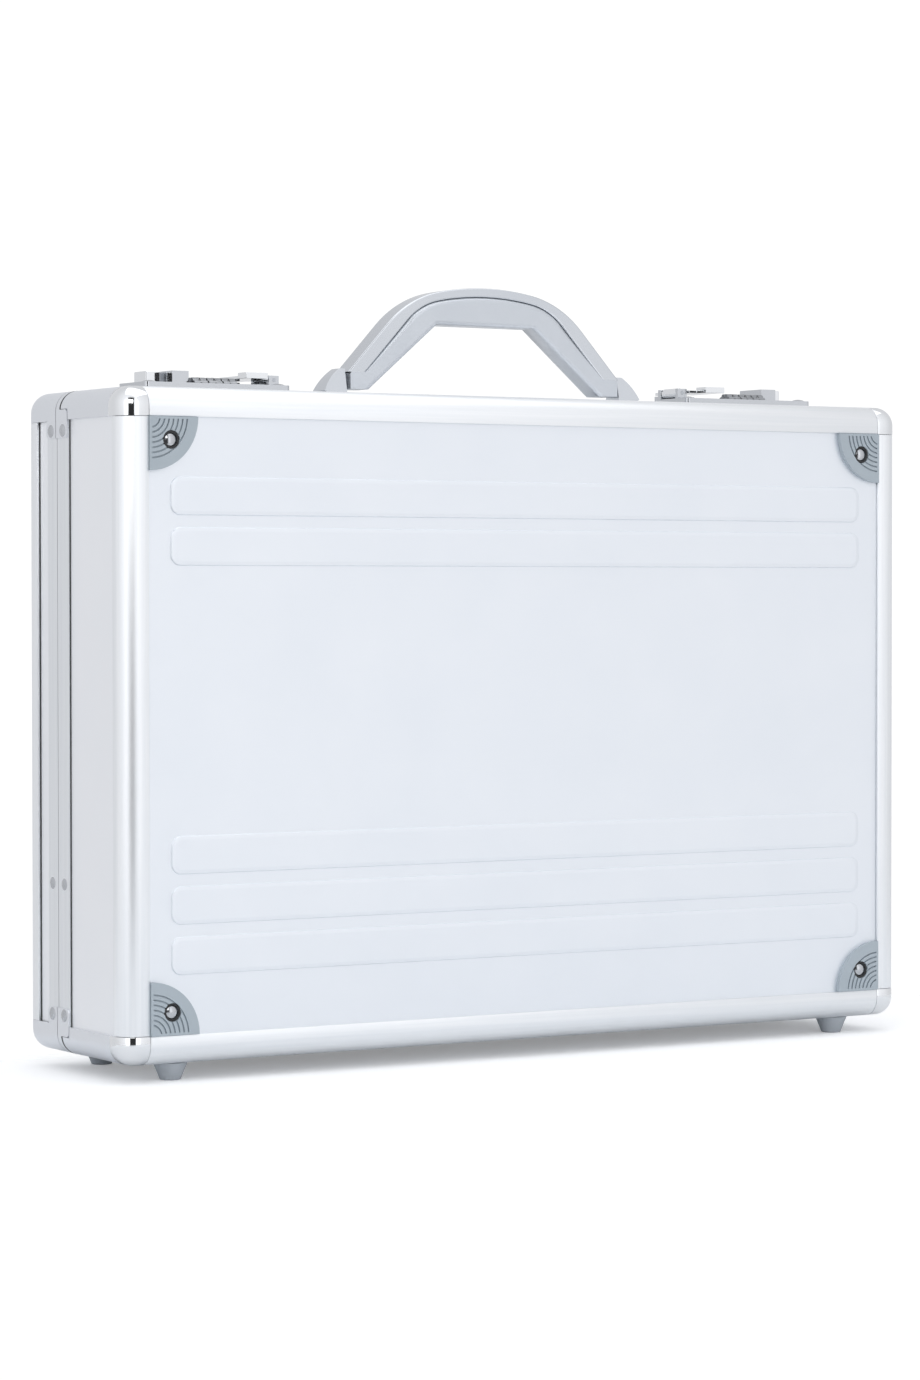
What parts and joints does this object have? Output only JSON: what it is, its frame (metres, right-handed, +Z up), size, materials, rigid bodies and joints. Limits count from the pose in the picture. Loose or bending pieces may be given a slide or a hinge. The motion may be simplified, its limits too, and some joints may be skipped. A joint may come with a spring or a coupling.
{
  "type": "attache case",
  "caption": "Hard aluminium attache case with a hinged lid on folding stays, a folding top handle, dial locks with lifting hasps and sliding buttons, and standing feet.",
  "frame": {"origin": "middle of the footprint, on the surface the feet stand on", "axes": "+X along the width, +Y from the base shell to the lid, +Z up"},
  "size_m": [0.462, 0.109, 0.3885],
  "materials": {
    "panel_sheet": "satin anodised sheet",
    "core_board": "plain fibreboard",
    "frame_aluminium": "satin anodised extrusion",
    "polished_chrome": "mirror polished",
    "satin_nickel": "satin plated",
    "bumper_plastic": "moulded, semi matte",
    "rivet_steel": "polished",
    "foot_rubber": "matte",
    "lining_fabric": "short fibre lining",
    "grip_plastic": "soft touch",
    "handle_metal": "silver paint",
    "pin_steel": "polished",
    "lock_nickel": "plated die casting",
    "lock_chrome": "plated die casting",
    "dial_metal": "plated die casting",
    "hinge_steel": "zinc plated"
  },
  "bodies": {
    "base": {"base_face_panel": "panel_sheet", "base_face_core": "core_board", "base_wall_top": "panel_sheet", "base_wall_bottom": "panel_sheet", "base_wall_left": "panel_sheet", "base_wall_right": "panel_sheet", "base_edge_top": "frame_aluminium", "base_edge_bottom": "frame_aluminium", "base_edge_left": "frame_aluminium", "base_edge_right": "frame_aluminium", "base_corner_rails": "frame_aluminium", "base_corner_caps": "polished_chrome", "base_rim": "frame_aluminium", "base_rim_corners": "satin_nickel", "base_bumpers": "bumper_plastic", "base_bumper_rivets": "rivet_steel", "base_rim_rivets": "rivet_steel", "base_feet": "foot_rubber", "base_lining": "lining_fabric", "handle_bracket_left": "handle_metal", "handle_bracket_right": "handle_metal", "handle_pins": "pin_steel", "mounting_rivets": "rivet_steel", "lock_plate_left": "lock_nickel", "lock_plate_right": "lock_nickel", "lock_case_left": "lock_nickel", "lock_case_right": "lock_nickel", "dial_shafts": "pin_steel", "hasp_pins": "pin_steel", "hinge_base_leaf": "hinge_steel", "hinge_pin": "pin_steel", "stay_base_rivets": "rivet_steel"},
    "handle": {"handle_frame": "handle_metal", "handle_grip": "grip_plastic"},
    "button_left": {"lock_button_left": "lock_chrome"},
    "button_right": {"lock_button_right": "lock_chrome"},
    "hasp_left": {"lock_hasp_left": "lock_chrome"},
    "hasp_right": {"lock_hasp_right": "lock_chrome"},
    "dial_left_1": {"dial_left_1": "dial_metal"},
    "dial_left_2": {"dial_left_2": "dial_metal"},
    "dial_left_3": {"dial_left_3": "dial_metal"},
    "dial_right_1": {"dial_right_1": "dial_metal"},
    "dial_right_2": {"dial_right_2": "dial_metal"},
    "dial_right_3": {"dial_right_3": "dial_metal"},
    "stay_lower_left": {"stay_lower_left": "hinge_steel"},
    "stay_lower_right": {"stay_lower_right": "hinge_steel"},
    "stay_upper_left": {"stay_upper_left": "hinge_steel"},
    "stay_upper_right": {"stay_upper_right": "hinge_steel"},
    "lid": {"lid_face_panel": "panel_sheet", "lid_face_core": "core_board", "lid_walls": "panel_sheet", "lid_edges": "frame_aluminium", "lid_rim": "frame_aluminium", "lid_corner_caps": "satin_nickel", "lid_bumpers": "bumper_plastic", "lid_rivets": "rivet_steel", "lid_lining": "lining_fabric", "lid_feet": "foot_rubber", "lock_strikes": "lock_nickel", "hinge_lid_leaf": "hinge_steel"}
  },
  "joints": [
    {"name": "lid_hinge", "type": "hinge", "parent": "base", "child": "lid", "pos_m": [0, 0.0179, 0.0068], "axis": [-1, 0, 0], "range_deg": [0, 100]},
    {"name": "stay_lower_left_turn", "type": "hinge", "parent": "base", "child": "stay_lower_left", "pos_m": [-0.222, 0.0114, 0.0918], "axis": [-1, 0, 0], "range_deg": [0, 100]},
    {"name": "stay_elbow_left", "type": "hinge", "parent": "stay_lower_left", "child": "stay_upper_left", "pos_m": [-0.222, 0.0179, 0.1768], "axis": [-1, 0, 0], "range_deg": [-100, 0]},
    {"name": "stay_lower_right_turn", "type": "hinge", "parent": "base", "child": "stay_lower_right", "pos_m": [0.222, 0.0114, 0.0918], "axis": [-1, 0, 0], "range_deg": [0, 100]},
    {"name": "stay_elbow_right", "type": "hinge", "parent": "stay_lower_right", "child": "stay_upper_right", "pos_m": [0.222, 0.0179, 0.1768], "axis": [-1, 0, 0], "range_deg": [-100, 0]},
    {"name": "handle_fold", "type": "hinge", "parent": "base", "child": "handle", "pos_m": [0, -0.0015, 0.3395], "axis": [1, 0, 0], "range_deg": [-90, 90]},
    {"name": "hasp_left_lift", "type": "hinge", "parent": "base", "child": "hasp_left", "pos_m": [-0.1225, -0.0015, 0.3385], "axis": [0, 1, 0], "range_deg": [0, 80]},
    {"name": "button_left_slide", "type": "slide", "parent": "base", "child": "button_left", "axis": [-1, 0, 0], "range_m": [0, 0.004], "stiffness_N_per_m": 250, "springref_m": -0.001},
    {"name": "dial_left_1_turn", "type": "hinge", "parent": "base", "child": "dial_left_1", "pos_m": [-0.1509, -0.0095, 0.333], "axis": [1, 0, 0], "continuous": true},
    {"name": "dial_left_2_turn", "type": "hinge", "parent": "base", "child": "dial_left_2", "pos_m": [-0.1589, -0.0095, 0.333], "axis": [1, 0, 0], "continuous": true},
    {"name": "dial_left_3_turn", "type": "hinge", "parent": "base", "child": "dial_left_3", "pos_m": [-0.1669, -0.0095, 0.333], "axis": [1, 0, 0], "continuous": true},
    {"name": "hasp_right_lift", "type": "hinge", "parent": "base", "child": "hasp_right", "pos_m": [0.1225, -0.0015, 0.3385], "axis": [0, -1, 0], "range_deg": [0, 80]},
    {"name": "button_right_slide", "type": "slide", "parent": "base", "child": "button_right", "axis": [1, 0, 0], "range_m": [0, 0.004], "stiffness_N_per_m": 250, "springref_m": -0.001},
    {"name": "dial_right_1_turn", "type": "hinge", "parent": "base", "child": "dial_right_1", "pos_m": [0.1509, -0.0095, 0.333], "axis": [1, 0, 0], "continuous": true},
    {"name": "dial_right_2_turn", "type": "hinge", "parent": "base", "child": "dial_right_2", "pos_m": [0.1589, -0.0095, 0.333], "axis": [1, 0, 0], "continuous": true},
    {"name": "dial_right_3_turn", "type": "hinge", "parent": "base", "child": "dial_right_3", "pos_m": [0.1669, -0.0095, 0.333], "axis": [1, 0, 0], "continuous": true}
  ],
  "couplings": [
    {"joint": "stay_lower_left_turn", "follows": "lid_hinge", "ratio": 1},
    {"joint": "stay_elbow_left", "follows": "lid_hinge", "ratio": -1},
    {"joint": "stay_lower_right_turn", "follows": "lid_hinge", "ratio": 1},
    {"joint": "stay_elbow_right", "follows": "lid_hinge", "ratio": -1}
  ]
}
